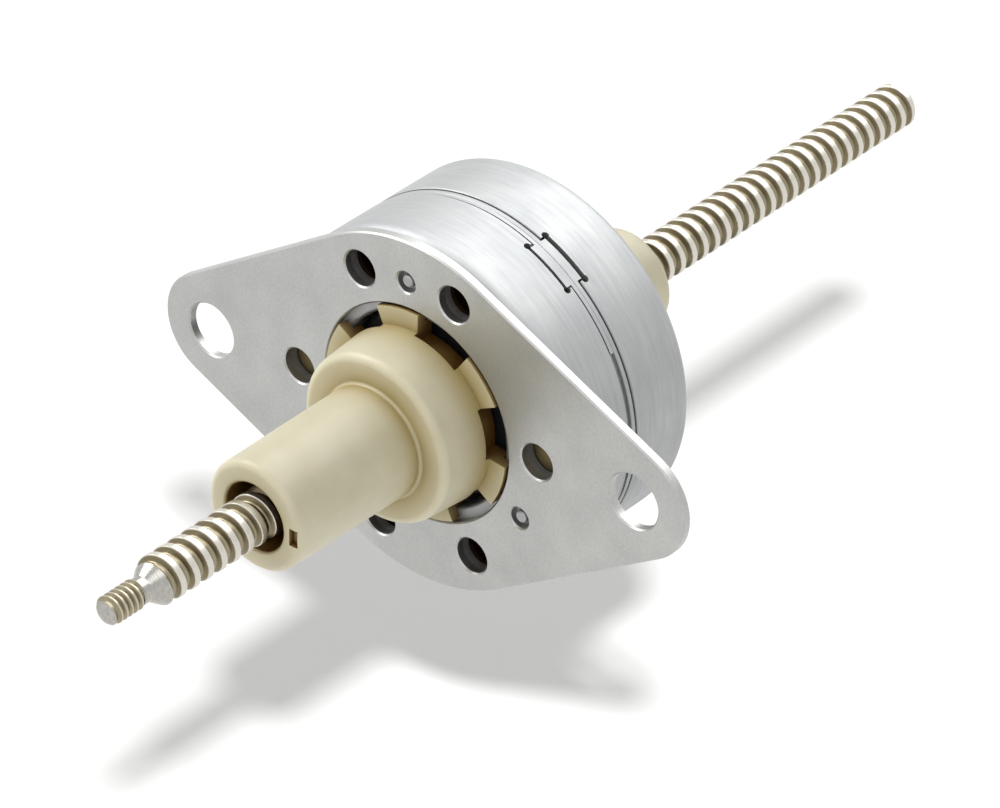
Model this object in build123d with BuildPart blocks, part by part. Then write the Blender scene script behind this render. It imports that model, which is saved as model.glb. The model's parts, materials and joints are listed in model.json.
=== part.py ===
from build123d import *
import math
import os

os.makedirs("parts", exist_ok=True)

# A tin-can linear stepper motor with a travelling lead screw. Millimetres.
# The motor axis is Y, with the screw's threaded tip towards -Y. Z is up.
# The origin is the centre of the mounting flange's front face.
# Angles are seen from the front: 0 is +X, 90 is +Z.

# Mounting flange
hole_spacing = 50.8
mount_hole_radius = 2.75
lobe_radius = 5.7
flange_thickness = 0.9
flange_edge_radius = 0.15
opening_radius = 10.95
access_hole_radius = 1.8
access_hole_ratio = 0.482
access_hole_spread = 67
clinch_hole_radius = 1.05
clinch_hole_ratio = 0.381
clinch_first_angle = 90
clinch_count = 3
clinch_pip_radius = 0.63
clinch_pip_height = 0.72
clinch_pip_edge_radius = 0.25

# Stator cups and pole plates
can_radius = 17.9
cup_length = 7.6
cup_sheet = 0.8
cup_corner_radius = 1.1
pole_plate_sheet = 0.6
pole_plate_inset = 0.12
seam_chamfer = 0.08
seam_groove_width = 0.17
seam_groove_depth = 0.35
seam_line_chamfer = 0.06
stator_bore_radius = 9.8
teeth_per_ring = 12
tooth_root_width = 2.2
tooth_tip_width = 1.15
tooth_tip_gap = 0.7
rear_half_turn = 7.5

# Alignment lug on the seam
lug_angle = 56
lug_width = 4.9
lug_lip = 0.4
slit_width = 0.42
relief_hole_radius = 0.36

# Reliefs in the pole plates' rims
rim_relief_depth = 0.35
rim_relief_start = -40
rim_relief_end = 25
rim_notch_depth = 0.6
rim_notch_start = 130
rim_notch_end = 142

# Bobbins and coils
bobbin_wall = 0.7
bobbin_clearance = 0.15
bobbin_end_gap = 0.1
coil_gap = 0.05
winding_inset = 1.9
window_rim = 0.55

# Terminals and the outlet for the leads, on the can's hidden side
outlet_angle = 180
lug_block_width = 7.8
lug_block_depth = 2.1
lug_block_rise = 0.7
window_clearance = 0.35
pin_radius = 0.35
pin_spacing = 4.0
pin_rise = 1.3
outlet_wall = 0.6
outlet_head_room = 0.5
lead_hole_radius = 0.55
lead_hole_spacing = 1.7
lead_count = 4

# Ball bearings
bearing_bore_radius = 3.5
bearing_radius = 7.0
bearing_width = 3.5
bearing_stand = 0.8
inner_ring_radius = 4.55
outer_ring_inner_radius = 5.95
ball_radius = 1.0
ball_count = 9
race_clearance = 0.03
cage_inner_radius = 4.9
cage_outer_radius = 5.6
cage_back = 1.3
cage_front = 0.25
pocket_clearance = 0.06

# Rotor
air_gap = 0.35
magnet_inner_radius = 6.5
magnet_edge_chamfer = 0.2
rotor_end_gap = 0.1
glue_gap = 0.02
hub_flange_radius = 8.0
hub_flange_sheet = 0.7
hub_shoulder_radius = 4.3
journal_clearance = 0.02
screw_clearance = 0.25
nut_flats = 8.4
nut_length = 9.0

# Front guide sleeve
tab_count = 6
tab_angle = 36.5
tab_arc = 27
tab_front = 0.15
tab_clearance = 0.2
notch_floor_radius = 7.9
notch_front = 0.45
notch_edge_radius = 0.5
spigot_length = 0.9
spigot_clearance = 0.1
collar_foot_radius = 8.9
collar_front_radius = 8.45
collar_length = 5.7
collar_edge_radius = 0.8
sleeve_foot_radius = 5.6
sleeve_tip_radius = 5.5
sleeve_length = 21.4
sleeve_edge_radius = 0.7
sleeve_foot_fillet = 0.3
guide_bore_radius = 3.4
bore_edge_radius = 0.3
gate_angle = -6
gate_circle = 4.65
gate_width = 1.8
gate_height = 0.9
gate_depth = 0.6
bearing_seat_clearance = 0.02
ring_recess_depth = 0.6

# Rear sleeve
rear_flange_thickness = 1.1
rear_collar_length = 5.7
rear_boss_foot_radius = 5.3
rear_boss_radius = 5.1
rear_boss_length = 13.0
rear_boss_edge_radius = 0.8
spring_sheet = 0.2
spring_height = 0.45
spring_inner_radius = 5.9

# Lead screw
screw_radius = 2.35
screw_root_radius = 1.8
thread_pitch = 1.7
thread_crest_width = 0.55
thread_root_width = 0.45
first_groove = -33.41
groove_count = 62
screw_front = 33.9
screw_rear = 71.9
screw_rear_chamfer = 0.8
shoulder_length = 1.5
neck_radius = 1.26
neck_length = 0.8
tip_thread_radius = 1.42
tip_thread_length = 3.8
tip_chamfer = 0.3
nut_running_clearance = 0.05

# Stations along the axis, positive towards the rear
front_cup_face = flange_thickness
seam_middle = front_cup_face + cup_length + pole_plate_sheet
rear_cup_face = seam_middle + pole_plate_sheet + cup_length
FRONT = -1
REAR = 1


def across(y):
    """Plane square to the motor axis at station y, seen from the front."""
    return Plane.XZ.offset(-y)


def meridian(angle):
    """Plane through the motor axis: local x runs outward, local y to the rear."""
    turn = math.radians(angle)
    outward = (math.cos(turn), 0, math.sin(turn))
    return Plane(origin=(0, 0, 0), x_dir=outward, z_dir=(-outward[2], 0, outward[0]))


def radial(angle, side):
    """Plane facing outward: local x runs from the seam to this side's end, local y around the can."""
    turn = math.radians(angle)
    outward = (math.cos(turn), 0, math.sin(turn))
    return Plane(origin=(0, seam_middle, 0), x_dir=(0, side, 0), z_dir=outward)


def on_circle(radius, angle):
    """Point of an across() sketch at a radius and angle."""
    turn = math.radians(angle)
    return (radius * math.cos(turn), radius * math.sin(turn))


def beside(radius, angle, offset):
    """Point of an across() sketch at a radius and angle, then moved sideways round the can."""
    x, z = on_circle(radius, angle)
    across_x, across_z = on_circle(offset, angle + 90)
    return (x + across_x, z + across_z)


def corner(sketch, radius, y):
    """Corner of a meridian profile nearest to a radius and a station."""
    return sketch.vertices().sort_by_distance((radius, y, 0))[0]


def save(piece, name):
    """Labels a finished piece and writes it."""
    piece.part.label = name
    export_step(piece.part, f"parts/{name}.step")


# Mounting flange: two rounded lobes drawn tangent to the can's own circle

flange_ring_width = can_radius - opening_radius
access_hole_circle = opening_radius + access_hole_ratio * flange_ring_width
clinch_hole_circle = opening_radius + clinch_hole_ratio * flange_ring_width
access_angles = (
    0,
    access_hole_spread,
    180 - access_hole_spread,
    180,
    180 + access_hole_spread,
    360 - access_hole_spread,
)
clinch_angles = [clinch_first_angle + n * 360 / clinch_count for n in range(clinch_count)]

with BuildPart() as mounting_flange:
    with BuildSketch(across(flange_thickness)) as plate_outline:
        Circle(can_radius)
        with Locations((-hole_spacing / 2, 0), (hole_spacing / 2, 0)):
            Circle(lobe_radius)
        make_hull()
        Circle(opening_radius, mode=Mode.SUBTRACT)
        with Locations((-hole_spacing / 2, 0), (hole_spacing / 2, 0)):
            Circle(mount_hole_radius, mode=Mode.SUBTRACT)
        with Locations([on_circle(access_hole_circle, angle) for angle in access_angles]):
            Circle(access_hole_radius, mode=Mode.SUBTRACT)
        with Locations([on_circle(clinch_hole_circle, angle) for angle in clinch_angles]):
            Circle(clinch_hole_radius, mode=Mode.SUBTRACT)
    extrude(amount=flange_thickness)
    chamfer(mounting_flange.faces().sort_by(Axis.Y)[0].edges(), flange_edge_radius)
save(mounting_flange, "mounting_flange")

# Stator halves: each is a drawn cup and a flat pole plate whose claw teeth interleave

tooth_pitch = 360 / teeth_per_ring
tooth_middle_radius = stator_bore_radius + cup_sheet / 2
pitch_width = 2 * tooth_middle_radius * math.sin(math.radians(tooth_pitch / 2))
root_gap = (pitch_width - tooth_root_width) / 2
tip_gap = (pitch_width - tooth_tip_width) / 2
cup_rim = pole_plate_sheet
cup_end = cup_rim + cup_length
cup_floor = cup_end - cup_sheet
cup_tooth_tip = cup_rim + tooth_tip_gap
plate_tooth_tip = cup_floor - tooth_tip_gap
claw_cut_reach = stator_bore_radius + cup_sheet + bobbin_clearance
cup_inner_radius = can_radius - cup_sheet
wall_cut_start = cup_inner_radius - cup_sheet
wall_cut_reach = 3 * cup_sheet
lug_slot_width = lug_width + slit_width
lug_slot_depth = pole_plate_sheet + lug_lip + slit_width
slit_middle = lug_slot_depth - slit_width / 2
window_width = lug_block_width + 2 * window_clearance
window_depth = pole_plate_sheet + lug_block_depth + window_clearance
rim_cuts = (
    (rim_relief_start, rim_relief_end, rim_relief_depth, (FRONT,)),
    (rim_notch_start, rim_notch_end, rim_notch_depth, (FRONT, REAR)),
)

for side, prefix, turn in ((FRONT, "front", 0), (REAR, "rear", rear_half_turn)):
    with BuildPart() as cup:
        with BuildSketch() as cup_profile:
            with BuildLine():
                Polyline(
                    (can_radius, seam_middle + side * cup_rim),
                    (can_radius, seam_middle + side * cup_end),
                    (stator_bore_radius, seam_middle + side * cup_end),
                    (stator_bore_radius, seam_middle + side * cup_tooth_tip),
                    (stator_bore_radius + cup_sheet, seam_middle + side * cup_tooth_tip),
                    (stator_bore_radius + cup_sheet, seam_middle + side * cup_floor),
                    (cup_inner_radius, seam_middle + side * cup_floor),
                    (cup_inner_radius, seam_middle + side * cup_rim),
                    close=True,
                )
            make_face()
            fillet(corner(cup_profile, can_radius, seam_middle + side * cup_end), cup_corner_radius)
            fillet(corner(cup_profile, stator_bore_radius, seam_middle + side * cup_end), cup_sheet / 2)
            chamfer(corner(cup_profile, can_radius, seam_middle + side * cup_rim), seam_chamfer)
        revolve(axis=Axis.Y)
        for n in range(teeth_per_ring):
            with BuildSketch(radial(turn + (n + 0.5) * tooth_pitch, side)):
                with BuildLine():
                    Polyline(
                        (cup_floor, -root_gap),
                        (cup_floor, root_gap),
                        (cup_tooth_tip, tip_gap),
                        (cup_tooth_tip, -tip_gap),
                        close=True,
                    )
                make_face()
        extrude(amount=claw_cut_reach, mode=Mode.SUBTRACT)
        with BuildSketch(across(seam_middle + side * cup_floor)):
            with Locations([on_circle(access_hole_circle, angle) for angle in access_angles]):
                Circle(access_hole_radius)
        extrude(amount=-side * cup_sheet, mode=Mode.SUBTRACT)
        with BuildSketch(radial(lug_angle, side).offset(wall_cut_start)):
            with Locations((lug_slot_depth / 2, 0)):
                Rectangle(lug_slot_depth, lug_slot_width)
            with Locations((slit_middle, -lug_slot_width / 2), (slit_middle, lug_slot_width / 2)):
                Circle(relief_hole_radius)
        extrude(amount=wall_cut_reach, mode=Mode.SUBTRACT)
        with BuildSketch(radial(outlet_angle, side).offset(wall_cut_start)):
            with Locations((window_depth / 2, 0)):
                Rectangle(window_depth, window_width)
        extrude(amount=wall_cut_reach, mode=Mode.SUBTRACT)
        if side == FRONT:
            with BuildSketch(across(front_cup_face)):
                with Locations([on_circle(clinch_hole_circle, angle) for angle in clinch_angles]):
                    Circle(clinch_pip_radius)
            extrude(amount=clinch_pip_height)
            fillet(cup.faces().sort_by(Axis.Y)[:clinch_count].edges(), clinch_pip_edge_radius)
    save(cup, f"{prefix}_cup")

    with BuildPart() as pole_plate:
        plate_radius = can_radius - pole_plate_inset
        with BuildSketch():
            with BuildLine():
                Polyline(
                    (plate_radius - seam_line_chamfer, seam_middle),
                    (plate_radius, seam_middle + side * seam_line_chamfer),
                    (plate_radius, seam_middle + side * (cup_rim - seam_groove_width)),
                    (plate_radius - seam_groove_depth, seam_middle + side * (cup_rim - seam_groove_width)),
                    (plate_radius - seam_groove_depth, seam_middle + side * cup_rim),
                    (stator_bore_radius + pole_plate_sheet, seam_middle + side * cup_rim),
                    (stator_bore_radius + pole_plate_sheet, seam_middle + side * plate_tooth_tip),
                    (stator_bore_radius, seam_middle + side * plate_tooth_tip),
                    (stator_bore_radius, seam_middle),
                    close=True,
                )
            make_face()
        revolve(axis=Axis.Y)
        for n in range(teeth_per_ring):
            with BuildSketch(radial(turn + n * tooth_pitch, side)):
                with BuildLine():
                    Polyline(
                        (cup_rim, -root_gap),
                        (cup_rim, root_gap),
                        (plate_tooth_tip, tip_gap),
                        (plate_tooth_tip, -tip_gap),
                        close=True,
                    )
                make_face()
        extrude(amount=claw_cut_reach, mode=Mode.SUBTRACT)
        lug_arc = math.degrees(lug_width / plate_radius)
        with BuildSketch(meridian(lug_angle + lug_arc / 2)):
            with BuildLine():
                Polyline(
                    (cup_inner_radius, seam_middle + side * (cup_rim - seam_groove_width)),
                    (plate_radius, seam_middle + side * (cup_rim - seam_groove_width)),
                    (plate_radius, seam_middle + side * (cup_rim + lug_lip)),
                    (cup_inner_radius, seam_middle + side * (cup_rim + lug_lip)),
                    close=True,
                )
            make_face()
        revolve(axis=Axis.Y, revolution_arc=lug_arc)
        with BuildSketch(radial(outlet_angle, side).offset(wall_cut_start)):
            with Locations((cup_rim / 2, 0)):
                Rectangle(cup_rim, window_width)
        extrude(amount=wall_cut_reach, mode=Mode.SUBTRACT)
        for start, end, depth, where in rim_cuts:
            if side in where:
                with BuildSketch(meridian(end)):
                    with Locations((plate_radius, seam_middle + side * cup_rim / 2)):
                        Rectangle(2 * depth, cup_rim)
                revolve(axis=Axis.Y, revolution_arc=end - start, mode=Mode.SUBTRACT)
    save(pole_plate, f"{prefix}_pole_plate")

# Bobbins, coils and terminal pins

bobbin_inner_radius = stator_bore_radius + cup_sheet + bobbin_clearance
bobbin_hub_radius = bobbin_inner_radius + bobbin_wall
bobbin_flange_radius = cup_inner_radius - bobbin_clearance
bobbin_end = cup_floor - bobbin_end_gap
bobbin_window_radius = (bobbin_flange_radius - bobbin_hub_radius) / 2 - window_rim
coil_radius = can_radius - winding_inset
coil_start = cup_rim + bobbin_wall + coil_gap
coil_end = bobbin_end - bobbin_wall - coil_gap
lug_block_end = cup_rim + lug_block_depth
lug_block_radius = can_radius + lug_block_rise
open_window_angles = [angle for angle in access_angles if angle % 180 != 0]

for side, prefix in ((FRONT, "front"), (REAR, "rear")):
    with BuildPart() as bobbin:
        with BuildSketch():
            with BuildLine():
                Polyline(
                    (bobbin_inner_radius, seam_middle + side * cup_rim),
                    (bobbin_flange_radius, seam_middle + side * cup_rim),
                    (bobbin_flange_radius, seam_middle + side * (cup_rim + bobbin_wall)),
                    (bobbin_hub_radius, seam_middle + side * (cup_rim + bobbin_wall)),
                    (bobbin_hub_radius, seam_middle + side * (bobbin_end - bobbin_wall)),
                    (bobbin_flange_radius, seam_middle + side * (bobbin_end - bobbin_wall)),
                    (bobbin_flange_radius, seam_middle + side * bobbin_end),
                    (bobbin_inner_radius, seam_middle + side * bobbin_end),
                    close=True,
                )
            make_face()
        revolve(axis=Axis.Y)
        with BuildSketch(across(seam_middle + side * (bobbin_end - bobbin_wall))):
            with Locations([on_circle(access_hole_circle, angle) for angle in open_window_angles]):
                Circle(bobbin_window_radius)
        extrude(amount=-side * bobbin_wall, mode=Mode.SUBTRACT)
        with BuildSketch(radial(outlet_angle, side).offset(coil_radius + bobbin_clearance)):
            with Locations((cup_rim + lug_block_depth / 2, 0)):
                Rectangle(lug_block_depth, lug_block_width)
        extrude(amount=lug_block_radius - coil_radius - bobbin_clearance)
        with BuildSketch(radial(outlet_angle, side).offset(coil_radius + 2 * bobbin_clearance)):
            with Locations(
                (cup_rim + lug_block_depth / 2, -pin_spacing / 2),
                (cup_rim + lug_block_depth / 2, pin_spacing / 2),
            ):
                Circle(pin_radius)
        extrude(amount=2 * can_radius, mode=Mode.SUBTRACT)
    save(bobbin, f"{prefix}_bobbin")

    with BuildPart() as coil:
        with BuildSketch(across(seam_middle + side * coil_start)):
            Circle(coil_radius)
            Circle(bobbin_hub_radius + coil_gap, mode=Mode.SUBTRACT)
        extrude(amount=-side * (coil_end - coil_start))
    save(coil, f"{prefix}_coil")

with BuildPart() as terminal_pins:
    for side in (FRONT, REAR):
        with BuildSketch(radial(outlet_angle, side).offset(coil_radius + 2 * bobbin_clearance)):
            with Locations(
                (cup_rim + lug_block_depth / 2, -pin_spacing / 2),
                (cup_rim + lug_block_depth / 2, pin_spacing / 2),
            ):
                Circle(pin_radius)
    extrude(amount=lug_block_radius + pin_rise - coil_radius - 2 * bobbin_clearance)
save(terminal_pins, "terminal_pins")

# Outlet for the leads: a low cap that straddles the seam over the terminal pins

outlet_inner_width = window_width + 2 * window_clearance
outlet_inner_length = 2 * (window_depth + window_clearance)
outlet_inner_radius = lug_block_radius + pin_rise + outlet_head_room
outlet_radius = outlet_inner_radius + outlet_wall

with BuildPart() as lead_outlet:
    with BuildSketch(radial(outlet_angle, REAR).offset(cup_inner_radius)):
        RectangleRounded(
            outlet_inner_length + 2 * outlet_wall,
            outlet_inner_width + 2 * outlet_wall,
            outlet_wall,
        )
    extrude(amount=outlet_radius - cup_inner_radius)
    fillet(lead_outlet.faces().sort_by(Axis.X)[0].edges(), outlet_wall / 2)
    with BuildSketch(across(0)):
        Circle(can_radius)
    extrude(amount=-rear_cup_face, mode=Mode.SUBTRACT)
    with BuildSketch(radial(outlet_angle, REAR).offset(cup_inner_radius)):
        Rectangle(outlet_inner_length, outlet_inner_width)
    extrude(amount=outlet_inner_radius - cup_inner_radius, mode=Mode.SUBTRACT)
    lead_row_radius = (can_radius + outlet_inner_radius) / 2
    lead_offsets = [(n - (lead_count - 1) / 2) * lead_hole_spacing for n in range(lead_count)]
    with BuildSketch(across(seam_middle + outlet_inner_length / 2)):
        with Locations([beside(lead_row_radius, outlet_angle, offset) for offset in lead_offsets]):
            Circle(lead_hole_radius)
    extrude(amount=-2 * outlet_wall, mode=Mode.SUBTRACT)
save(lead_outlet, "lead_outlet")

# Ball bearings, one at each end of the rotor

bearing_inner_end = cup_end + bearing_stand
bearing_outer_end = bearing_inner_end + bearing_width
ball_station = (bearing_inner_end + bearing_outer_end) / 2
ball_circle = (inner_ring_radius + outer_ring_inner_radius) / 2
race_radius = ball_radius + race_clearance

for side, prefix in ((FRONT, "front"), (REAR, "rear")):
    ball_y = seam_middle + side * ball_station

    with BuildPart() as inner_ring:
        with BuildSketch(across(seam_middle + side * bearing_inner_end)):
            Circle(inner_ring_radius)
            Circle(bearing_bore_radius, mode=Mode.SUBTRACT)
        extrude(amount=-side * bearing_width)
        with BuildSketch():
            with Locations((ball_circle, ball_y)):
                Circle(race_radius)
        revolve(axis=Axis.Y, mode=Mode.SUBTRACT)
    save(inner_ring, f"{prefix}_bearing_inner_ring")

    with BuildPart() as outer_ring:
        with BuildSketch(across(seam_middle + side * bearing_inner_end)):
            Circle(bearing_radius)
            Circle(outer_ring_inner_radius, mode=Mode.SUBTRACT)
        extrude(amount=-side * bearing_width)
        with BuildSketch():
            with Locations((ball_circle, ball_y)):
                Circle(race_radius)
        revolve(axis=Axis.Y, mode=Mode.SUBTRACT)
    save(outer_ring, f"{prefix}_bearing_outer_ring")

    with BuildPart() as balls:
        with Locations(across(ball_y)):
            with PolarLocations(ball_circle, ball_count):
                Sphere(ball_radius)
    save(balls, f"{prefix}_bearing_balls")

    with BuildPart() as cage:
        with BuildSketch(across(ball_y - side * cage_front)):
            Circle(cage_outer_radius)
            Circle(cage_inner_radius, mode=Mode.SUBTRACT)
        extrude(amount=-side * (cage_back + cage_front))
        with Locations(across(ball_y)):
            with PolarLocations(ball_circle, ball_count):
                Sphere(ball_radius + pocket_clearance, mode=Mode.SUBTRACT)
    save(cage, f"{prefix}_bearing_cage")

# Rotor: ring magnet on a moulded hub that holds the drive nut

magnet_radius = stator_bore_radius - air_gap
half_magnet = cup_end - spigot_length - rotor_end_gap - hub_flange_sheet
hub_radius = magnet_inner_radius - glue_gap
journal_radius = bearing_bore_radius - journal_clearance
hub_bore_radius = screw_radius + screw_clearance
hub_end = half_magnet + hub_flange_sheet

with BuildPart() as rotor_magnet:
    with BuildSketch(across(seam_middle + half_magnet)):
        Circle(magnet_radius)
        Circle(magnet_inner_radius, mode=Mode.SUBTRACT)
    extrude(amount=2 * half_magnet)
    chamfer(rotor_magnet.edges().filter_by(GeomType.CIRCLE).sort_by(SortBy.RADIUS)[-2:], magnet_edge_chamfer)
save(rotor_magnet, "rotor_magnet")

with BuildPart() as rotor_hub:
    with BuildSketch():
        with BuildLine():
            Polyline(
                (hub_bore_radius, seam_middle - bearing_outer_end),
                (journal_radius, seam_middle - bearing_outer_end),
                (journal_radius, seam_middle - bearing_inner_end),
                (hub_shoulder_radius, seam_middle - bearing_inner_end),
                (hub_shoulder_radius, seam_middle - half_magnet - glue_gap),
                (hub_radius, seam_middle - half_magnet - glue_gap),
                (hub_radius, seam_middle + half_magnet + glue_gap),
                (hub_flange_radius, seam_middle + half_magnet + glue_gap),
                (hub_flange_radius, seam_middle + hub_end),
                (hub_shoulder_radius, seam_middle + hub_end),
                (hub_shoulder_radius, seam_middle + bearing_inner_end),
                (journal_radius, seam_middle + bearing_inner_end),
                (journal_radius, seam_middle + bearing_outer_end),
                (hub_bore_radius, seam_middle + bearing_outer_end),
                close=True,
            )
        make_face()
    revolve(axis=Axis.Y)
    with BuildSketch(across(seam_middle + nut_length / 2 + glue_gap)):
        RegularPolygon(nut_flats / 2 + glue_gap, 6, major_radius=False)
    extrude(amount=nut_length + 2 * glue_gap, mode=Mode.SUBTRACT)
save(rotor_hub, "rotor_hub")

with BuildPart() as drive_nut:
    with BuildSketch(across(seam_middle + nut_length / 2)):
        RegularPolygon(nut_flats / 2, 6, major_radius=False)
        Circle(screw_radius + nut_running_clearance, mode=Mode.SUBTRACT)
    extrude(amount=nut_length)
save(drive_nut, "drive_nut")

# Front guide sleeve: a castellated collar in the flange's opening, then a slender tube

seat_radius = bearing_radius + bearing_seat_clearance
front_seat_end = seam_middle - bearing_outer_end
ring_recess_radius = ball_circle
tab_radius = opening_radius - tab_clearance
spigot_radius = stator_bore_radius - spigot_clearance
notch_arc = 360 / tab_count - tab_arc
notch_edge_circle = collar_foot_radius + notch_edge_radius / 4

with BuildPart() as guide_sleeve:
    with BuildSketch() as sleeve_profile:
        with BuildLine():
            Polyline(
                (seat_radius, front_cup_face + spigot_length),
                (spigot_radius, front_cup_face + spigot_length),
                (spigot_radius, front_cup_face),
                (tab_radius, front_cup_face),
                (tab_radius, -tab_front),
                (collar_foot_radius, -tab_front),
                (collar_front_radius, -collar_length),
                (sleeve_foot_radius, -collar_length),
                (sleeve_tip_radius, -sleeve_length),
                (guide_bore_radius, -sleeve_length),
                (guide_bore_radius, front_seat_end - ring_recess_depth),
                (ring_recess_radius, front_seat_end - ring_recess_depth),
                (ring_recess_radius, front_seat_end),
                (seat_radius, front_seat_end),
                close=True,
            )
        make_face()
        fillet(corner(sleeve_profile, collar_front_radius, -collar_length), collar_edge_radius)
        fillet(corner(sleeve_profile, sleeve_foot_radius, -collar_length), sleeve_foot_fillet)
        fillet(corner(sleeve_profile, sleeve_tip_radius, -sleeve_length), sleeve_edge_radius)
        fillet(corner(sleeve_profile, guide_bore_radius, -sleeve_length), bore_edge_radius)
    revolve(axis=Axis.Y)
    for n in range(tab_count):
        with BuildSketch(meridian(tab_angle + (n + 0.5) * 360 / tab_count + notch_arc / 2)) as notch:
            with BuildLine():
                Polyline(
                    (notch_floor_radius, -notch_front),
                    (notch_edge_circle, -notch_front),
                    (notch_edge_circle, -notch_front - 2 * notch_edge_radius),
                    (tab_radius + tab_clearance, -notch_front - 2 * notch_edge_radius),
                    (tab_radius + tab_clearance, front_cup_face + 2 * spigot_length),
                    (notch_floor_radius, front_cup_face + 2 * spigot_length),
                    close=True,
                )
            make_face()
            fillet(corner(notch, notch_edge_circle, -notch_front), notch_edge_radius)
    revolve(axis=Axis.Y, revolution_arc=notch_arc, mode=Mode.SUBTRACT)
    with BuildSketch(meridian(gate_angle)):
        with Locations((gate_circle, -sleeve_length + gate_depth / 2)):
            Rectangle(gate_height, gate_depth)
    extrude(amount=gate_width / 2, both=True, mode=Mode.SUBTRACT)
save(guide_sleeve, "guide_sleeve")

# Rear sleeve: closes the back of the can and carries the rear bearing and its spring

rear_seat_end = seam_middle + bearing_outer_end + spring_height
rear_collar_end = rear_cup_face + rear_collar_length
rear_boss_end = rear_cup_face + rear_boss_length

with BuildPart() as rear_sleeve:
    with BuildSketch() as rear_profile:
        with BuildLine():
            Polyline(
                (seat_radius, rear_cup_face - spigot_length),
                (spigot_radius, rear_cup_face - spigot_length),
                (spigot_radius, rear_cup_face),
                (tab_radius, rear_cup_face),
                (tab_radius, rear_cup_face + rear_flange_thickness),
                (collar_foot_radius, rear_cup_face + rear_flange_thickness),
                (collar_front_radius, rear_collar_end),
                (rear_boss_foot_radius, rear_collar_end),
                (rear_boss_radius, rear_boss_end),
                (guide_bore_radius, rear_boss_end),
                (guide_bore_radius, rear_seat_end),
                (seat_radius, rear_seat_end),
                close=True,
            )
        make_face()
        fillet(corner(rear_profile, collar_front_radius, rear_collar_end), collar_edge_radius)
        fillet(corner(rear_profile, rear_boss_foot_radius, rear_collar_end), sleeve_foot_fillet)
        fillet(corner(rear_profile, rear_boss_radius, rear_boss_end), rear_boss_edge_radius)
        fillet(corner(rear_profile, guide_bore_radius, rear_boss_end), bore_edge_radius)
    revolve(axis=Axis.Y)
    for n in range(tab_count):
        with BuildSketch(meridian(tab_angle + (n + 0.5) * 360 / tab_count + notch_arc / 2)):
            with BuildLine():
                Polyline(
                    (collar_foot_radius, rear_cup_face - 2 * spigot_length),
                    (tab_radius + tab_clearance, rear_cup_face - 2 * spigot_length),
                    (tab_radius + tab_clearance, rear_cup_face + 2 * rear_flange_thickness),
                    (collar_foot_radius, rear_cup_face + 2 * rear_flange_thickness),
                    close=True,
                )
            make_face()
    revolve(axis=Axis.Y, revolution_arc=notch_arc, mode=Mode.SUBTRACT)
save(rear_sleeve, "rear_sleeve")

# Preload spring: a thin conical washer behind the rear bearing's outer ring

spring_start = seam_middle + bearing_outer_end
with BuildPart() as preload_spring:
    with BuildSketch():
        with BuildLine():
            Polyline(
                (bearing_radius - race_clearance, spring_start),
                (bearing_radius - race_clearance, spring_start + spring_sheet),
                (spring_inner_radius, spring_start + spring_height),
                (spring_inner_radius, spring_start + spring_height - spring_sheet),
                close=True,
            )
        make_face()
    revolve(axis=Axis.Y)
save(preload_spring, "preload_spring")

# Lead screw: ring grooves of the thread's own pitch and depth stand in for its helix

thread_depth = screw_radius - screw_root_radius
groove_opening = thread_pitch - thread_crest_width
shoulder_start = -screw_front - shoulder_length
neck_end = shoulder_start - neck_length
tip_end = neck_end - tip_thread_length

with BuildPart() as lead_screw:
    with BuildSketch() as screw_profile:
        with BuildLine():
            Polyline(
                (0, screw_rear),
                (screw_radius, screw_rear),
                (screw_radius, -screw_front),
                (neck_radius, shoulder_start),
                (neck_radius, neck_end),
                (tip_thread_radius, neck_end),
                (tip_thread_radius, tip_end),
                (0, tip_end),
                close=True,
            )
        make_face()
        chamfer(corner(screw_profile, screw_radius, screw_rear), screw_rear_chamfer)
        chamfer(corner(screw_profile, tip_thread_radius, tip_end), tip_chamfer)
        with Locations([(screw_radius, first_groove + n * thread_pitch) for n in range(groove_count)]):
            Polygon(
                (0, -groove_opening / 2),
                (0, groove_opening / 2),
                (-thread_depth, thread_root_width / 2),
                (-thread_depth, -thread_root_width / 2),
                align=None,
                mode=Mode.SUBTRACT,
            )
    revolve(axis=Axis.Y)
save(lead_screw, "lead_screw")
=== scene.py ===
# %% [markdown]
# # Linear actuator stepper motor
#
# This lesson dresses a finished CAD model of a small linear stepper motor. The CAD
# gives every solid its place, in metres, with the motor's axis along Y. Here the
# solids get their real finishes, and the lead screw gets its thread. Each step
# first says what the piece is on the real motor, then how it can be made.

# %% Load the CAD model as a fixed frame
import bpy
import bmesh
import json
import math
from mathutils import Matrix, Vector


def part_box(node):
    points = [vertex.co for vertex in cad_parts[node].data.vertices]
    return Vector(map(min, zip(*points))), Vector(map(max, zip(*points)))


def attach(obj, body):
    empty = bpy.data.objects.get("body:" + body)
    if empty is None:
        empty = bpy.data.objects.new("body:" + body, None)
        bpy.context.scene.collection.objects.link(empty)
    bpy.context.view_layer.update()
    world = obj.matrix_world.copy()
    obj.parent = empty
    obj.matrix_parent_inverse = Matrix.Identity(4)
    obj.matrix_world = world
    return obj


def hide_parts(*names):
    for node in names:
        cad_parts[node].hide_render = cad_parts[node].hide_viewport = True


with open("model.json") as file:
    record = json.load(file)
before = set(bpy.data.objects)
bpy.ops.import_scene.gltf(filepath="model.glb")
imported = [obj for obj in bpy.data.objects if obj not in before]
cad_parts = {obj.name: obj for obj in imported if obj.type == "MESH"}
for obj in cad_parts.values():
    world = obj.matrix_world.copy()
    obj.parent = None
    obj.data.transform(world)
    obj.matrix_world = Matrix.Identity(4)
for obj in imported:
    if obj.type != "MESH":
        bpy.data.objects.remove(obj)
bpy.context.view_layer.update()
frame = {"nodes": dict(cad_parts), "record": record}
MM = 0.001

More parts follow.
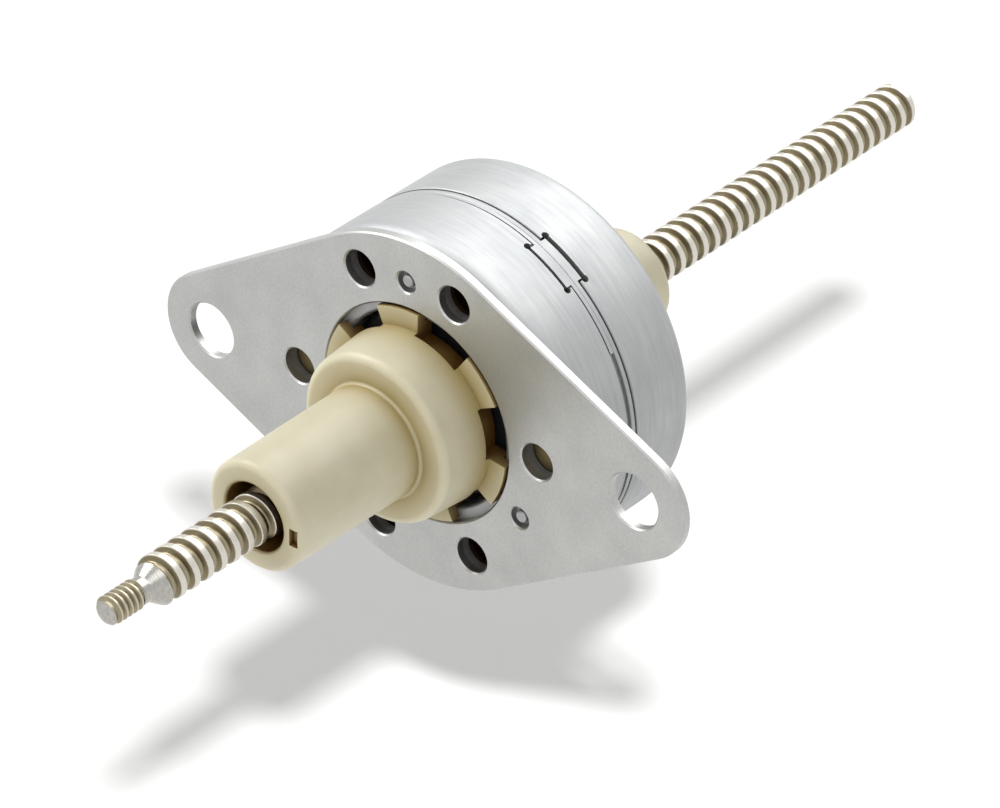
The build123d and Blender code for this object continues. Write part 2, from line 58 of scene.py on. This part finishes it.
# %% [markdown]
# ## The camera
#
# The picture is a catalogue view from the front right and above, taken with a long
# lens, so parallel edges stay nearly parallel. A camera fitted to the circles of
# the flange gives its angle, its distance and a small roll. The camera is placed on
# a line from the point it looks at, and its three own axes make its matrix.

# %% Place the camera at the picture's angle
CAMERA_AZIMUTH = math.radians(42.843)
CAMERA_ELEVATION = math.radians(31.201)
CAMERA_ROLL = math.radians(-3.852)
CAMERA_DISTANCE = 498.70 * MM
AIM_RIGHT = 7.584 * MM
AIM_UP = 0.851 * MM
FOCAL_LENGTH = 199.53
SENSOR_WIDTH = 36.0
CLIP_START = 0.01
CLIP_END = 50.0

away = Vector((
    math.sin(CAMERA_AZIMUTH) * math.cos(CAMERA_ELEVATION),
    -math.cos(CAMERA_AZIMUTH) * math.cos(CAMERA_ELEVATION),
    math.sin(CAMERA_ELEVATION),
))
level_right = Vector((math.cos(CAMERA_AZIMUTH), math.sin(CAMERA_AZIMUTH), 0))
level_up = away.cross(level_right)
picture_right = math.cos(CAMERA_ROLL) * level_right + math.sin(CAMERA_ROLL) * level_up
picture_up = away.cross(picture_right)

camera = bpy.data.objects.new("camera", bpy.data.cameras.new("camera"))
camera.data.lens = FOCAL_LENGTH
camera.data.sensor_width = SENSOR_WIDTH
camera.data.sensor_fit = "HORIZONTAL"
camera.data.clip_start = CLIP_START
camera.data.clip_end = CLIP_END
turned = Matrix((picture_right, picture_up, away)).transposed().to_4x4()
place = AIM_RIGHT * picture_right + AIM_UP * picture_up + CAMERA_DISTANCE * away
camera.matrix_world = Matrix.Translation(place) @ turned
bpy.context.scene.collection.objects.link(camera)
bpy.context.scene.camera = camera
print("camera at", [round(c, 4) for c in place])

# %% [markdown]
# ## Helpers for materials
#
# Colours are written as the sRGB hex values that a paint program shows. Blender's
# shaders work in linear light, so one function converts them. A second one adds a
# node with its settings and its inputs: an input is either a plain value or the
# output of another node, which it links. A colour ramp also takes its stops there,
# each a position with a hex colour or a grey level. A third function turns the size
# of a pattern's features in millimetres into the scale that Blender's textures ask
# for, and the last one makes an empty material, to which each finish adds its nodes.

# %% Colour, node and pattern-scale helpers
def linear(hex_colour):
    """sRGB hex, such as "C0C0BC", to linear red, green, blue and alpha."""
    channels = [int(hex_colour[i:i + 2], 16) / 255 for i in (0, 2, 4)]
    return [c / 12.92 if c <= 0.04045 else ((c + 0.055) / 1.055) ** 2.4 for c in channels] + [1.0]


def add(tree, kind, settings=None, inputs=None, stops=()):
    """Adds a node; each input is a value to set or another node's output to link."""
    node = tree.nodes.new(kind)
    for name, value in (settings or {}).items():
        setattr(node, name, value)
    for name, value in (inputs or {}).items():
        if isinstance(value, bpy.types.NodeSocket):
            tree.links.new(value, node.inputs[name])
        else:
            node.inputs[name].default_value = value
    for i, (position, colour) in enumerate(stops):
        elements = node.color_ramp.elements
        stop = elements[i] if i < 2 else elements.new(position)
        stop.position = position
        stop.color = linear(colour) if isinstance(colour, str) else [colour, colour, colour, 1.0]
    return node


def per_feature(millimetres):
    """Texture scale at which one feature is about this wide."""
    return 1 / (millimetres * MM)


def new_material(name):
    """Empty material with its node tree, its shader and the piece's own coordinates."""
    material = bpy.data.materials.new(name)
    material.use_nodes = True
    tree = material.node_tree
    tree.nodes.clear()
    shader = add(tree, "ShaderNodeBsdfPrincipled")
    add(tree, "ShaderNodeOutputMaterial", inputs={"Surface": shader.outputs["BSDF"]})
    coordinates = add(tree, "ShaderNodeTexCoord").outputs["Object"]
    return material, tree, shader, coordinates


finishes = {}
BUMP_HEIGHT = 0.02 * MM
print("helpers ready")

# %% [markdown]
# ## The floor
#
# In the catalogue picture the motor hangs a little above a white table, and its
# shadow falls straight down in the picture. The floor is a real pale surface that
# takes the shadow. Seen directly or in a reflection it also glows a little, so that
# it is white where nothing shades it. The sky further down asks the same question of
# how it is seen, so a function holds the nodes that answer it.

# %% Floor
FLOOR_SIZE = 6.0
FLOOR_DROP = 20 * MM
FLOOR_GLOW = 0.25


def seen_directly(tree):
    """1 for rays from the camera, off a mirror or through glass, and 0 for all others."""
    rays = add(tree, "ShaderNodeLightPath")
    direct = add(tree, "ShaderNodeMath", {"operation": "MAXIMUM"}, {
        0: rays.outputs["Is Camera Ray"],
        1: rays.outputs["Is Glossy Ray"],
    })
    return add(tree, "ShaderNodeMath", {"operation": "MAXIMUM"}, {
        0: direct.outputs[0],
        1: rays.outputs["Is Transmission Ray"],
    }).outputs[0]


floor_height = min(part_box(name)[0].z for name in frame["nodes"]) - FLOOR_DROP
table = bmesh.new()
bmesh.ops.create_grid(table, x_segments=1, y_segments=1, size=FLOOR_SIZE / 2)
bmesh.ops.translate(table, verts=table.verts, vec=(0, 0, floor_height))
floor = bpy.data.objects.new("floor", bpy.data.meshes.new("floor"))
table.to_mesh(floor.data)
table.free()
bpy.context.scene.collection.objects.link(floor)

white_table = bpy.data.materials.new("white_table")
white_table.use_nodes = True
tree = white_table.node_tree
tree.nodes.clear()
lift = add(tree, "ShaderNodeMath", {"operation": "MULTIPLY"}, {
    0: seen_directly(tree), 1: FLOOR_GLOW,
})
paint = add(tree, "ShaderNodeBsdfDiffuse", inputs={"Color": linear("E4E4E3")})
glow = add(tree, "ShaderNodeEmission", inputs={
    "Color": linear("FFFFFF"), "Strength": lift.outputs[0],
})
both = add(tree, "ShaderNodeAddShader", inputs={0: paint.outputs[0], 1: glow.outputs[0]})
add(tree, "ShaderNodeOutputMaterial", inputs={"Surface": both.outputs[0]})
floor.data.materials.append(white_table)
print("floor at", round(floor_height / MM, 2), "mm")

# %% [markdown]
# ## The lights
#
# The motor itself is lit softly from above on the left, but its shadow falls straight
# down and keeps the motor's own outline. Light linking gives both: a far lamp on the
# camera's side lights the table alone, as evenly as the sun does.

# %% Shadow lamp
SHADOW_LAMP_DIRECTION = (0.47, -0.40, 0.79)
SHADOW_LAMP_STRENGTH = 2.8
SHADOW_LAMP_ANGLE = math.radians(6.3)

only_the_floor = bpy.data.collections.new("only_the_floor")
only_the_floor.objects.link(floor)
shadow_lamp = bpy.data.objects.new("shadow_lamp", bpy.data.lights.new("shadow_lamp", "SUN"))
shadow_lamp.data.energy = SHADOW_LAMP_STRENGTH
shadow_lamp.data.angle = SHADOW_LAMP_ANGLE
shadow_lamp.light_linking.receiver_collection = only_the_floor
shadow_lamp.rotation_euler = Vector(SHADOW_LAMP_DIRECTION).to_track_quat("Z", "Y").to_euler()
bpy.context.scene.collection.objects.link(shadow_lamp)

# %% [markdown]
# The soft boxes light everything but the table. The box behind is there for the metal
# only: seen as a mirror image in the can, it makes the broad glow along its top, so
# plain diffuse surfaces don't see it.

# %% Soft boxes
all_but_the_floor = bpy.data.collections.new("all_but_the_floor")
all_but_the_floor.objects.link(floor)
all_but_the_floor.collection_objects[0].light_linking.link_state = "EXCLUDE"

# Name, direction, distance and side in metres, power, and whether diffuse surfaces see it
soft_boxes = (
    ("soft_box_left", (-0.62, -0.25, 0.74), 0.80, 0.50, 4.2, True),
    ("soft_box_front", (0.45, -0.45, 0.75), 0.90, 0.60, 1.4, True),
    ("soft_box_behind", (-0.02, 0.62, 0.75), 0.80, 0.90, 5.8, False),
)
for name, direction, distance, size, power, lights_paint in soft_boxes:
    towards = Vector(direction).normalized()
    lamp = bpy.data.objects.new(name, bpy.data.lights.new(name, "AREA"))
    lamp.data.shape = "SQUARE"
    lamp.data.size = size
    lamp.data.energy = power
    lamp.visible_diffuse = lights_paint
    lamp.light_linking.receiver_collection = all_but_the_floor
    lamp.location = towards * distance
    lamp.rotation_euler = towards.to_track_quat("Z", "Y").to_euler()
    bpy.context.scene.collection.objects.link(lamp)
    print(name, "at", [round(c, 2) for c in lamp.location])

# %% [markdown]
# The world has two brightnesses. Looked at directly, through glass or in a mirror
# image it is plain white, as the paper round a catalogue object is. For the light
# that it sends on to everything it is dimmer, so that the shadow stays visible.

# %% Sky
SKY_LIGHT = 0.40

sky = bpy.data.worlds.new("studio")
sky.use_nodes = True
tree = sky.node_tree
tree.nodes.clear()
lit = add(tree, "ShaderNodeBackground", inputs={
    "Color": linear("FFFFFF"), "Strength": SKY_LIGHT,
})
white = add(tree, "ShaderNodeBackground", inputs={"Color": linear("FFFFFF"), "Strength": 1.0})
choice = add(tree, "ShaderNodeMixShader", inputs={
    0: seen_directly(tree), 1: lit.outputs[0], 2: white.outputs[0],
})
add(tree, "ShaderNodeOutputWorld", inputs={"Surface": choice.outputs[0]})
bpy.context.scene.world = sky
bpy.context.scene.view_settings.view_transform = "Standard"
print("sky ready")

# %% [markdown]
# ## Flange: zinc-plated steel sheet
#
# The flange is stamped from cold-rolled strip and dull zinc plated. The eye sees a
# mid grey metal with a soft, grainy sheen and faint cloudy patches. Metallic is 1,
# the roughness is near 0.4, and two noises vary it: one as fine as the grain of the
# plating and one as wide as the clouds. A little bump breaks the reflection up.

# %% Material of the flange
material, tree, shader, coordinates = new_material("dull_zinc_plate")
finishes["flange_steel"] = material
grain = add(tree, "ShaderNodeTexNoise", inputs={
    "Vector": coordinates, "Scale": per_feature(0.28), "Detail": 4.0, "Roughness": 0.6,
}).outputs["Fac"]
clouds = add(tree, "ShaderNodeTexNoise", inputs={
    "Vector": coordinates, "Scale": per_feature(5.0), "Detail": 3.0,
}).outputs["Fac"]
mottle = add(tree, "ShaderNodeMix", {"data_type": "FLOAT"}, {
    0: 0.45, 2: grain, 3: clouds,
}).outputs[0]
colour = add(tree, "ShaderNodeValToRGB", inputs={"Fac": mottle}, stops=[
    (0.3, "A8A9A7"), (0.7, "BDBDBB"),
])
gloss = add(tree, "ShaderNodeValToRGB", inputs={"Fac": mottle}, stops=[(0.3, 0.46), (0.7, 0.36)])
skin = add(tree, "ShaderNodeBump", inputs={
    "Strength": 0.25, "Distance": BUMP_HEIGHT, "Height": grain,
})
tree.links.new(colour.outputs["Color"], shader.inputs["Base Color"])
tree.links.new(gloss.outputs["Color"], shader.inputs["Roughness"])
tree.links.new(skin.outputs["Normal"], shader.inputs["Normal"])
shader.inputs["Metallic"].default_value = 1.0
print(material.name)

# %% [markdown]
# ## Can: drawn, tin-plated steel
#
# The two cups are pressed from satin plated steel. Drawing and tumbling leave fine
# lines that run round the can, and the tumbled surface spreads every reflection, so
# the can looks pale and nearly matte. The lines come from a noise that is squeezed
# along the motor's axis and stretched across it with a Mapping node. They are finer
# on the real can, and drawn as coarse as they need to be to show.

# %% Material of the cups and pole plates
material, tree, shader, coordinates = new_material("satin_tin_plate")
finishes["cup_steel"] = material
squeezed = add(tree, "ShaderNodeMapping", inputs={
    "Vector": coordinates, "Scale": (1.0, 14.0, 1.0),
}).outputs["Vector"]
lines = add(tree, "ShaderNodeTexNoise", inputs={
    "Vector": squeezed, "Scale": per_feature(5.0), "Detail": 5.0, "Roughness": 0.6,
}).outputs["Fac"]
clouds = add(tree, "ShaderNodeTexNoise", inputs={
    "Vector": coordinates, "Scale": per_feature(6.0), "Detail": 3.0,
}).outputs["Fac"]
worn = add(tree, "ShaderNodeMix", {"data_type": "FLOAT"}, {0: 0.5, 2: lines, 3: clouds}).outputs[0]
colour = add(tree, "ShaderNodeValToRGB", inputs={"Fac": worn}, stops=[
    (0.3, "9FA1A2"), (0.7, "B2B3B3"),
])
gloss = add(tree, "ShaderNodeValToRGB", inputs={"Fac": worn}, stops=[(0.3, 0.62), (0.7, 0.50)])
skin = add(tree, "ShaderNodeBump", inputs={
    "Strength": 0.15, "Distance": BUMP_HEIGHT, "Height": lines,
})
tree.links.new(colour.outputs["Color"], shader.inputs["Base Color"])
tree.links.new(gloss.outputs["Color"], shader.inputs["Roughness"])
tree.links.new(skin.outputs["Normal"], shader.inputs["Normal"])
shader.inputs["Metallic"].default_value = 1.0
print(material.name)

# %% [markdown]
# ## Sleeves and bobbins: cream moulded polyester
#
# PBT is an engineering plastic that moulds with a satin skin and lets a little light
# into itself. Its natural colour is a warm cream, and its IOR is about 1.55. The
# mould's spark-eroded finish is a fine even grain, and the flow of the melt leaves
# very weak clouds of tone. Its bores and corners get painted shade: an Ambient
# Occlusion node measures how closed in each point is, and a ramp on it darkens the
# cream there towards brown.

# %% Materials of the cream mouldings
OCCLUSION_REACH = 5.0 * MM
PBT_IOR = 1.55
SUBSURFACE_DEPTH = 0.8 * MM

for slot, name, dark, light, painted_shade_colour, gloss_level in (
    ("sleeve_plastic", "cream_moulded_pbt", "D8D0B1", "E0D9BD", "6E4A1A", 0.40),
    # The bobbin's cream is painted darker than the sleeve's, as painted shade for the holes it is
    # seen through
    ("bobbin_plastic", "cream_bobbin_pbt_painted_shade", "A89C74", "B4A982", "4A3B1C", 0.50),
):
    material, tree, shader, coordinates = new_material(name)
    finishes[slot] = material
    flow = add(tree, "ShaderNodeTexNoise", inputs={
        "Vector": coordinates, "Scale": per_feature(4.0), "Detail": 3.0,
    }).outputs["Fac"]
    grain = add(tree, "ShaderNodeTexNoise", inputs={
        "Vector": coordinates, "Scale": per_feature(0.2), "Detail": 2.0,
    }).outputs["Fac"]
    openness = add(tree, "ShaderNodeAmbientOcclusion", {"samples": 8}, {
        "Distance": OCCLUSION_REACH,
    }).outputs["AO"]
    cream = add(tree, "ShaderNodeValToRGB", inputs={"Fac": flow}, stops=[(0.3, dark), (0.7, light)])
    # Painted shade: where a point is closed in, this ramp darkens the cream towards brown
    painted_shade_tint = add(tree, "ShaderNodeValToRGB", inputs={"Fac": openness}, stops=[
        (0.25, painted_shade_colour), (0.60, "C8B98C"), (0.94, "FFFFFF"),
    ])
    colour = add(tree, "ShaderNodeMix", {"data_type": "RGBA", "blend_type": "MULTIPLY"}, {
        0: 1.0, 6: cream.outputs["Color"], 7: painted_shade_tint.outputs["Color"],
    })
    gloss = add(tree, "ShaderNodeValToRGB", inputs={"Fac": grain}, stops=[
        (0.3, gloss_level + 0.06), (0.7, gloss_level - 0.04),
    ])
    skin = add(tree, "ShaderNodeBump", inputs={
        "Strength": 0.15, "Distance": BUMP_HEIGHT, "Height": grain,
    })
    tree.links.new(colour.outputs[2], shader.inputs["Base Color"])
    tree.links.new(gloss.outputs["Color"], shader.inputs["Roughness"])
    tree.links.new(skin.outputs["Normal"], shader.inputs["Normal"])
    shader.inputs["IOR"].default_value = PBT_IOR
    shader.inputs["Subsurface Weight"].default_value = 0.15
    shader.inputs["Subsurface Radius"].default_value = (1.0, 0.7, 0.35)
    shader.inputs["Subsurface Scale"].default_value = SUBSURFACE_DEPTH
    print(material.name)

# %% [markdown]
# ## Lead screw steel
#
# The screw is rolled from stainless bar, and rolling burnishes its crests. Its colour
# paints the thread's light and shade: the crests are a bright painted highlight, the
# flanks an olive brown painted shade, and the roots a lighter grey where painted light
# falls in. The distance from the screw's axis tells crest, flank and root apart: the
# two coordinates square to the axis give a radius, and a ramp on it paints the shade
# only between crest and root. A fine noise is added to the radius, so that the painted
# shade ends in a ragged edge. The small thread at the tip has the same painted light
# and shade at its own two radii.

# %% Materials of the two threads
SCREW_RADIUS = 2.35 * MM
ROOT_RADIUS = 1.80 * MM
TIP_RADIUS = 1.42 * MM
TIP_ROOT_RADIUS = 1.12 * MM
# How much the noise breaks up the edge of the painted shade on the flanks
SHADE_EDGE_NOISE = 0.16

# The last two colours are the painted shade of the flanks and the painted highlight of the crests
for slot, name, root, crest, flank_shade, crest_highlight in (
    ("screw_steel", "rolled_stainless_steel", ROOT_RADIUS, SCREW_RADIUS, "7C725B", "CFCBC1"),
    ("tip_steel", "rolled_stainless_tip", TIP_ROOT_RADIUS, TIP_RADIUS, "958C75", "BFB9A8"),
):
    material, tree, shader, coordinates = new_material(name)
    finishes[slot] = material
    flat = add(tree, "ShaderNodeMapping", inputs={
        "Vector": coordinates, "Scale": (1.0, 0.0, 1.0),
    }).outputs["Vector"]
    radius = add(tree, "ShaderNodeVectorMath", {"operation": "LENGTH"}, {0: flat}).outputs["Value"]
    height = add(tree, "ShaderNodeMapRange", inputs={
        "Value": radius, "From Min": root, "From Max": crest,
    }).outputs[0]
    scratches = add(tree, "ShaderNodeTexNoise", inputs={
        "Vector": coordinates, "Scale": per_feature(0.3), "Detail": 4.0,
    }).outputs["Fac"]
    worn = add(tree, "ShaderNodeMath", {"operation": "MULTIPLY_ADD"}, {
        0: scratches, 1: SHADE_EDGE_NOISE, 2: height,
    }).outputs[0]
    # Painted light and shade by radius: a lighter root, dark flanks and bright crests
    colour = add(tree, "ShaderNodeValToRGB", inputs={"Fac": worn}, stops=[
        (0.08, "9A917A"), (0.25, flank_shade), (0.86, flank_shade), (1.0, crest_highlight),
    ])
    gloss = add(tree, "ShaderNodeValToRGB", inputs={"Fac": scratches}, stops=[
        (0.3, 0.38), (0.7, 0.28),
    ])
    tree.links.new(colour.outputs["Color"], shader.inputs["Base Color"])
    tree.links.new(gloss.outputs["Color"], shader.inputs["Roughness"])
    shader.inputs["Metallic"].default_value = 1.0
    print(material.name)

# %% [markdown]
# The cone, the neck and the end faces are turned and not rolled, so they are a
# bright plain grey with fine marks of the cutting tool round them.

# %% Material of the cone, the neck and the ends
material, tree, shader, coordinates = new_material("turned_stainless_steel")
finishes["screw_end"] = material
squeezed = add(tree, "ShaderNodeMapping", inputs={
    "Vector": coordinates, "Scale": (1.0, 6.0, 1.0),
}).outputs["Vector"]
marks = add(tree, "ShaderNodeTexNoise", inputs={
    "Vector": squeezed, "Scale": per_feature(0.5), "Detail": 4.0,
}).outputs["Fac"]
colour = add(tree, "ShaderNodeValToRGB", inputs={"Fac": marks}, stops=[
    (0.3, "9D9B95"), (0.7, "B6B4AE"),
])
gloss = add(tree, "ShaderNodeValToRGB", inputs={"Fac": marks}, stops=[(0.3, 0.28), (0.7, 0.18)])
tree.links.new(colour.outputs["Color"], shader.inputs["Base Color"])
tree.links.new(gloss.outputs["Color"], shader.inputs["Roughness"])
shader.inputs["Metallic"].default_value = 1.0
print(material.name)

# %% [markdown]
# ## Finishes inside the motor
#
# These show through the flange's holes, between the sleeve's tabs and in views of
# the back: enamelled copper, painted nearly black as painted shade for the deep holes,
# black mouldings, ground bearing steel, sintered ferrite, spring steel, tinned pins and
# a bronze nut. Each is a base colour with its own pattern size, roughness and metal
# share, so one loop builds them all from a short list of finishes.

# %% Materials of the inner pieces
# Slot, name, dark and light colour, pattern size in millimetres, roughness, metallic, IOR
inner_finishes = (
    ("outlet_plastic", "black_moulded_nylon", "1A1A1B", "232324", 0.25, 0.48, 0.0, 1.53),
    # The copper is painted dark brown, as painted shade for the deep holes it is seen through
    ("coil_wire", "enamelled_copper_wire_painted_shade", "2E1409", "4A2412", 0.22, 0.35, 1.0, 1.5),
    ("pin_metal", "tinned_brass", "B9B7AE", "D2D0C8", 0.30, 0.34, 1.0, 1.5),
    ("bearing_steel", "ground_bearing_steel", "B4B5B5", "D0D1D1", 0.20, 0.20, 1.0, 1.5),
    ("cage_plastic", "brown_moulded_nylon", "5A3D22", "6B4A2B", 0.30, 0.45, 0.0, 1.53),
    ("spring_steel", "rolled_spring_steel", "8C8D8C", "A3A4A2", 0.40, 0.35, 1.0, 1.5),
    ("magnet_ferrite", "sintered_ferrite", "2A2A2C", "3A3A3C", 0.35, 0.55, 0.3, 1.5),
    ("hub_plastic", "black_glass_filled_nylon", "1E1E1F", "2A2A2B", 0.30, 0.50, 0.0, 1.53),
    ("nut_bronze", "machined_bronze", "A87C45", "C29A5E", 0.25, 0.30, 1.0, 1.5),
)
for slot, name, dark, light, feature, gloss_level, metal, index in inner_finishes:
    material, tree, shader, coordinates = new_material(name)
    finishes[slot] = material
    grain = add(tree, "ShaderNodeTexNoise", inputs={
        "Vector": coordinates, "Scale": per_feature(feature), "Detail": 4.0,
    }).outputs["Fac"]
    colour = add(tree, "ShaderNodeValToRGB", inputs={"Fac": grain}, stops=[
        (0.3, dark), (0.7, light),
    ])
    gloss = add(tree, "ShaderNodeValToRGB", inputs={"Fac": grain}, stops=[
        (0.3, gloss_level + 0.06), (0.7, gloss_level - 0.04),
    ])
    skin = add(tree, "ShaderNodeBump", inputs={
        "Strength": 0.2, "Distance": BUMP_HEIGHT, "Height": grain,
    })
    tree.links.new(colour.outputs["Color"], shader.inputs["Base Color"])
    tree.links.new(gloss.outputs["Color"], shader.inputs["Roughness"])
    tree.links.new(skin.outputs["Normal"], shader.inputs["Normal"])
    shader.inputs["Metallic"].default_value = metal
    shader.inputs["IOR"].default_value = index
    print(material.name)

# %% [markdown]
# ## Dress the CAD solids
#
# The record says which finish each solid takes, so the solids are dressed in one
# loop by looking their slot up.

# %% Give every CAD solid its finish
for part in frame["record"]["subparts"]:
    solid = frame["nodes"][part["node"]]
    for slot in solid.material_slots:
        slot.material = finishes[part["material_slot"]]

# %% [markdown]
# ## The lead screw's thread
#
# A thread is one outline carried round the axis while it moves along it, so the
# outline of one pitch is drawn as joined points, and one spin with a shift along the
# axis makes a single turn. Copying the turns and moving the copies on doubles their
# number each time, which is much quicker than spinning them all. Two planes then cut
# the skin to length, the openings are filled, and near each end every point is drawn
# in to the cone that the turning tool leaves there. The faces of the cones and the
# ends are marked for the second, turned finish.

# %% Helper that makes a threaded bar
WELD_DISTANCE = 0.001 * MM
CUT_TOLERANCE = 0.0001 * MM


def threaded_bar(outline, steps, low, high, low_cone, high_cone, start_angle):
    """Closed threaded bar along Y.

    The outline of one pitch is a list of (radius, distance along). Each cone is a
    (drop in radius, length). The outline starts on the high end at start_angle.
    """
    bar = bmesh.new()
    pitch = outline[-1][1]
    crest = max(radius for radius, along in outline)
    points = [bar.verts.new((radius, along, 0)) for radius, along in outline]
    for first, second in zip(points, points[1:]):
        bar.edges.new((first, second))
    bmesh.ops.spin(
        bar, geom=bar.verts[:] + bar.edges[:], cent=(0, 0, 0), axis=(0, 1, 0),
        dvec=(0, pitch / steps, 0), angle=math.tau, steps=steps, use_merge=False,
    )
    length = pitch
    while length < high - low + 3 * pitch:
        copy = bmesh.ops.duplicate(bar, geom=bar.verts[:] + bar.edges[:] + bar.faces[:])["geom"]
        moved = [element for element in copy if isinstance(element, bmesh.types.BMVert)]
        bmesh.ops.translate(bar, verts=moved, vec=(0, length, 0))
        length *= 2
    bmesh.ops.remove_doubles(bar, verts=bar.verts, dist=WELD_DISTANCE)
    turns = math.ceil((high - low) / pitch) + 2
    first_start = high + pitch * start_angle / math.tau - pitch * turns
    bmesh.ops.translate(bar, verts=bar.verts, vec=(0, first_start, 0))
    for y, outward, (drop, cone_length) in ((low, -1, low_cone), (high, 1, high_cone)):
        bmesh.ops.bisect_plane(
            bar, geom=bar.verts[:] + bar.edges[:] + bar.faces[:], dist=CUT_TOLERANCE,
            plane_co=(0, y, 0), plane_no=(0, outward, 0), clear_outer=True,
        )
        rim = [
            edge for edge in bar.edges
            if edge.is_boundary and abs(edge.verts[0].co.y - y) < WELD_DISTANCE
        ]
        turned = set(bmesh.ops.edgeloop_fill(bar, edges=rim)["faces"][0].verts)
        for vert in bar.verts:
            inside = (y - vert.co.y) * outward
            limit = crest - drop * (1 - inside / cone_length)
            distance = math.hypot(vert.co.x, vert.co.z)
            if inside < cone_length and distance > limit:
                vert.co.x *= limit / distance
                vert.co.z *= limit / distance
                turned.add(vert)
        for face in bar.faces:
            if turned.issuperset(face.verts):
                face.material_index = 1
    bmesh.ops.recalc_face_normals(bar, faces=bar.faces)
    return bar


screw_low, screw_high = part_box("lead_screw")
print("screw from", round(screw_low.y / MM, 1), "to", round(screw_high.y / MM, 1), "mm")

# %% [markdown]
# The thread has the flat crests and straight flanks of a trapezoidal power thread. It
# is drawn with one start, so each turn moves along by one pitch. Its outline is drawn
# in short steps, so that the cone near the end cuts it cleanly.
# The thread starts at an angle that puts its turns where the picture has them. In
# front it ends in the cone that leads down to the neck.

# %% Thread of the lead screw
THREAD_PITCH = 1.70 * MM
CREST_WIDTH = 0.66 * MM
ROOT_WIDTH = 0.44 * MM
CORNER = 0.05 * MM
PROFILE_STEP = 0.12 * MM
TURN_STEPS = 40
THREAD_START = math.radians(107)
SHOULDER_START = -35.4 * MM
SHOULDER_LENGTH = 1.5 * MM
REAR_CHAMFER = 0.8 * MM
NECK_RADIUS = 1.26 * MM

flank_width = (THREAD_PITCH - CREST_WIDTH - ROOT_WIDTH) / 2
root_start = CREST_WIDTH + flank_width
cone_slope = (SCREW_RADIUS - NECK_RADIUS) / SHOULDER_LENGTH
cone_end = SHOULDER_START + (ROOT_RADIUS - NECK_RADIUS) / cone_slope
corners = [
    (SCREW_RADIUS - CORNER, 0),
    (SCREW_RADIUS, CORNER),
    (SCREW_RADIUS, CREST_WIDTH - CORNER),
    (SCREW_RADIUS - CORNER, CREST_WIDTH),
    (ROOT_RADIUS + CORNER, root_start - CORNER / 2),
    (ROOT_RADIUS, root_start + CORNER),
    (ROOT_RADIUS, THREAD_PITCH - flank_width - CORNER),
    (ROOT_RADIUS + CORNER, THREAD_PITCH - flank_width + CORNER / 2),
    (SCREW_RADIUS - CORNER, THREAD_PITCH),
]
profile = []
for first, second in zip(corners, corners[1:]):
    pieces = max(1, round(math.dist(first, second) / PROFILE_STEP))
    for n in range(pieces):
        profile.append([a + (b - a) * n / pieces for a, b in zip(first, second)])
thread = threaded_bar(
    profile + [corners[-1]], TURN_STEPS, cone_end, screw_high.y,
    (SCREW_RADIUS - ROOT_RADIUS, SHOULDER_START + SHOULDER_LENGTH - cone_end),
    (REAR_CHAMFER, REAR_CHAMFER), THREAD_START,
)
print("thread faces", len(thread.faces))

# %% [markdown]
# ## The screw's tip
#
# In front of the thread stand the plain part of the cone, a short neck and a small
# machine thread that takes the driven part. The small thread is made like the large
# one, with a finer pitch and a sharp V form. The cone and the neck are one outline
# spun round the axis, and it reaches a little way into both threads, so that no gap
# can show.

# %% Small thread and neck
TIP_PITCH = 0.635 * MM
TIP_CREST_END = 0.15
TIP_ROOT_START = 0.50
TIP_ROOT_END = 0.65
TIP_TURN_STEPS = 32
TIP_CHAMFER = 0.3 * MM
NECK_END = -36.2 * MM
OVERLAP = 0.2 * MM
NECK_STEPS = 48

tip = threaded_bar(
    [
        (TIP_RADIUS, 0),
        (TIP_RADIUS, TIP_PITCH * TIP_CREST_END),
        (TIP_ROOT_RADIUS, TIP_PITCH * TIP_ROOT_START),
        (TIP_ROOT_RADIUS, TIP_PITCH * TIP_ROOT_END),
        (TIP_RADIUS, TIP_PITCH),
    ],
    TIP_TURN_STEPS, screw_low.y, NECK_END,
    (TIP_CHAMFER, TIP_CHAMFER), (TIP_CHAMFER / 2, TIP_CHAMFER / 2), 0,
)
neck = bmesh.new()
outline = [
    neck.verts.new((radius, y, 0))
    for radius, y in (
        (0, cone_end + OVERLAP),
        (ROOT_RADIUS - OVERLAP, cone_end + OVERLAP),
        (ROOT_RADIUS, cone_end),
        (NECK_RADIUS, SHOULDER_START),
        (NECK_RADIUS, NECK_END - OVERLAP),
        (0, NECK_END - OVERLAP),
    )
]
for first, second in zip(outline, outline[1:]):
    neck.edges.new((first, second))
bmesh.ops.spin(
    neck, geom=neck.verts[:] + neck.edges[:], cent=(0, 0, 0), axis=(0, 1, 0),
    angle=math.tau, steps=NECK_STEPS, use_merge=True,
)
bmesh.ops.remove_doubles(neck, verts=neck.verts, dist=WELD_DISTANCE)
bmesh.ops.recalc_face_normals(neck, faces=neck.faces)
print("tip faces", len(tip.faces), "neck faces", len(neck.faces))

# %% [markdown]
# The three meshes become three objects that ride on the screw's body and together
# stand for the CAD's screw.

# %% Hand the threaded screw over
SHARP_ANGLE = math.radians(35)

for name, shape, finish_names in (
    ("screw_thread", thread, ("screw_steel", "screw_end")),
    ("screw_neck", neck, ("screw_end",)),
    ("screw_tip_thread", tip, ("tip_steel", "screw_end")),
):
    piece = bpy.data.objects.new(name, bpy.data.meshes.new(name))
    shape.to_mesh(piece.data)
    shape.free()
    bpy.context.scene.collection.objects.link(piece)
    for finish in finish_names:
        piece.data.materials.append(finishes[finish])
    piece.data.shade_smooth()
    piece.data.set_sharp_from_angle(angle=SHARP_ANGLE)
    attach(piece, "screw")
    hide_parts("lead_screw")
    print(name, len(piece.data.polygons), "faces")
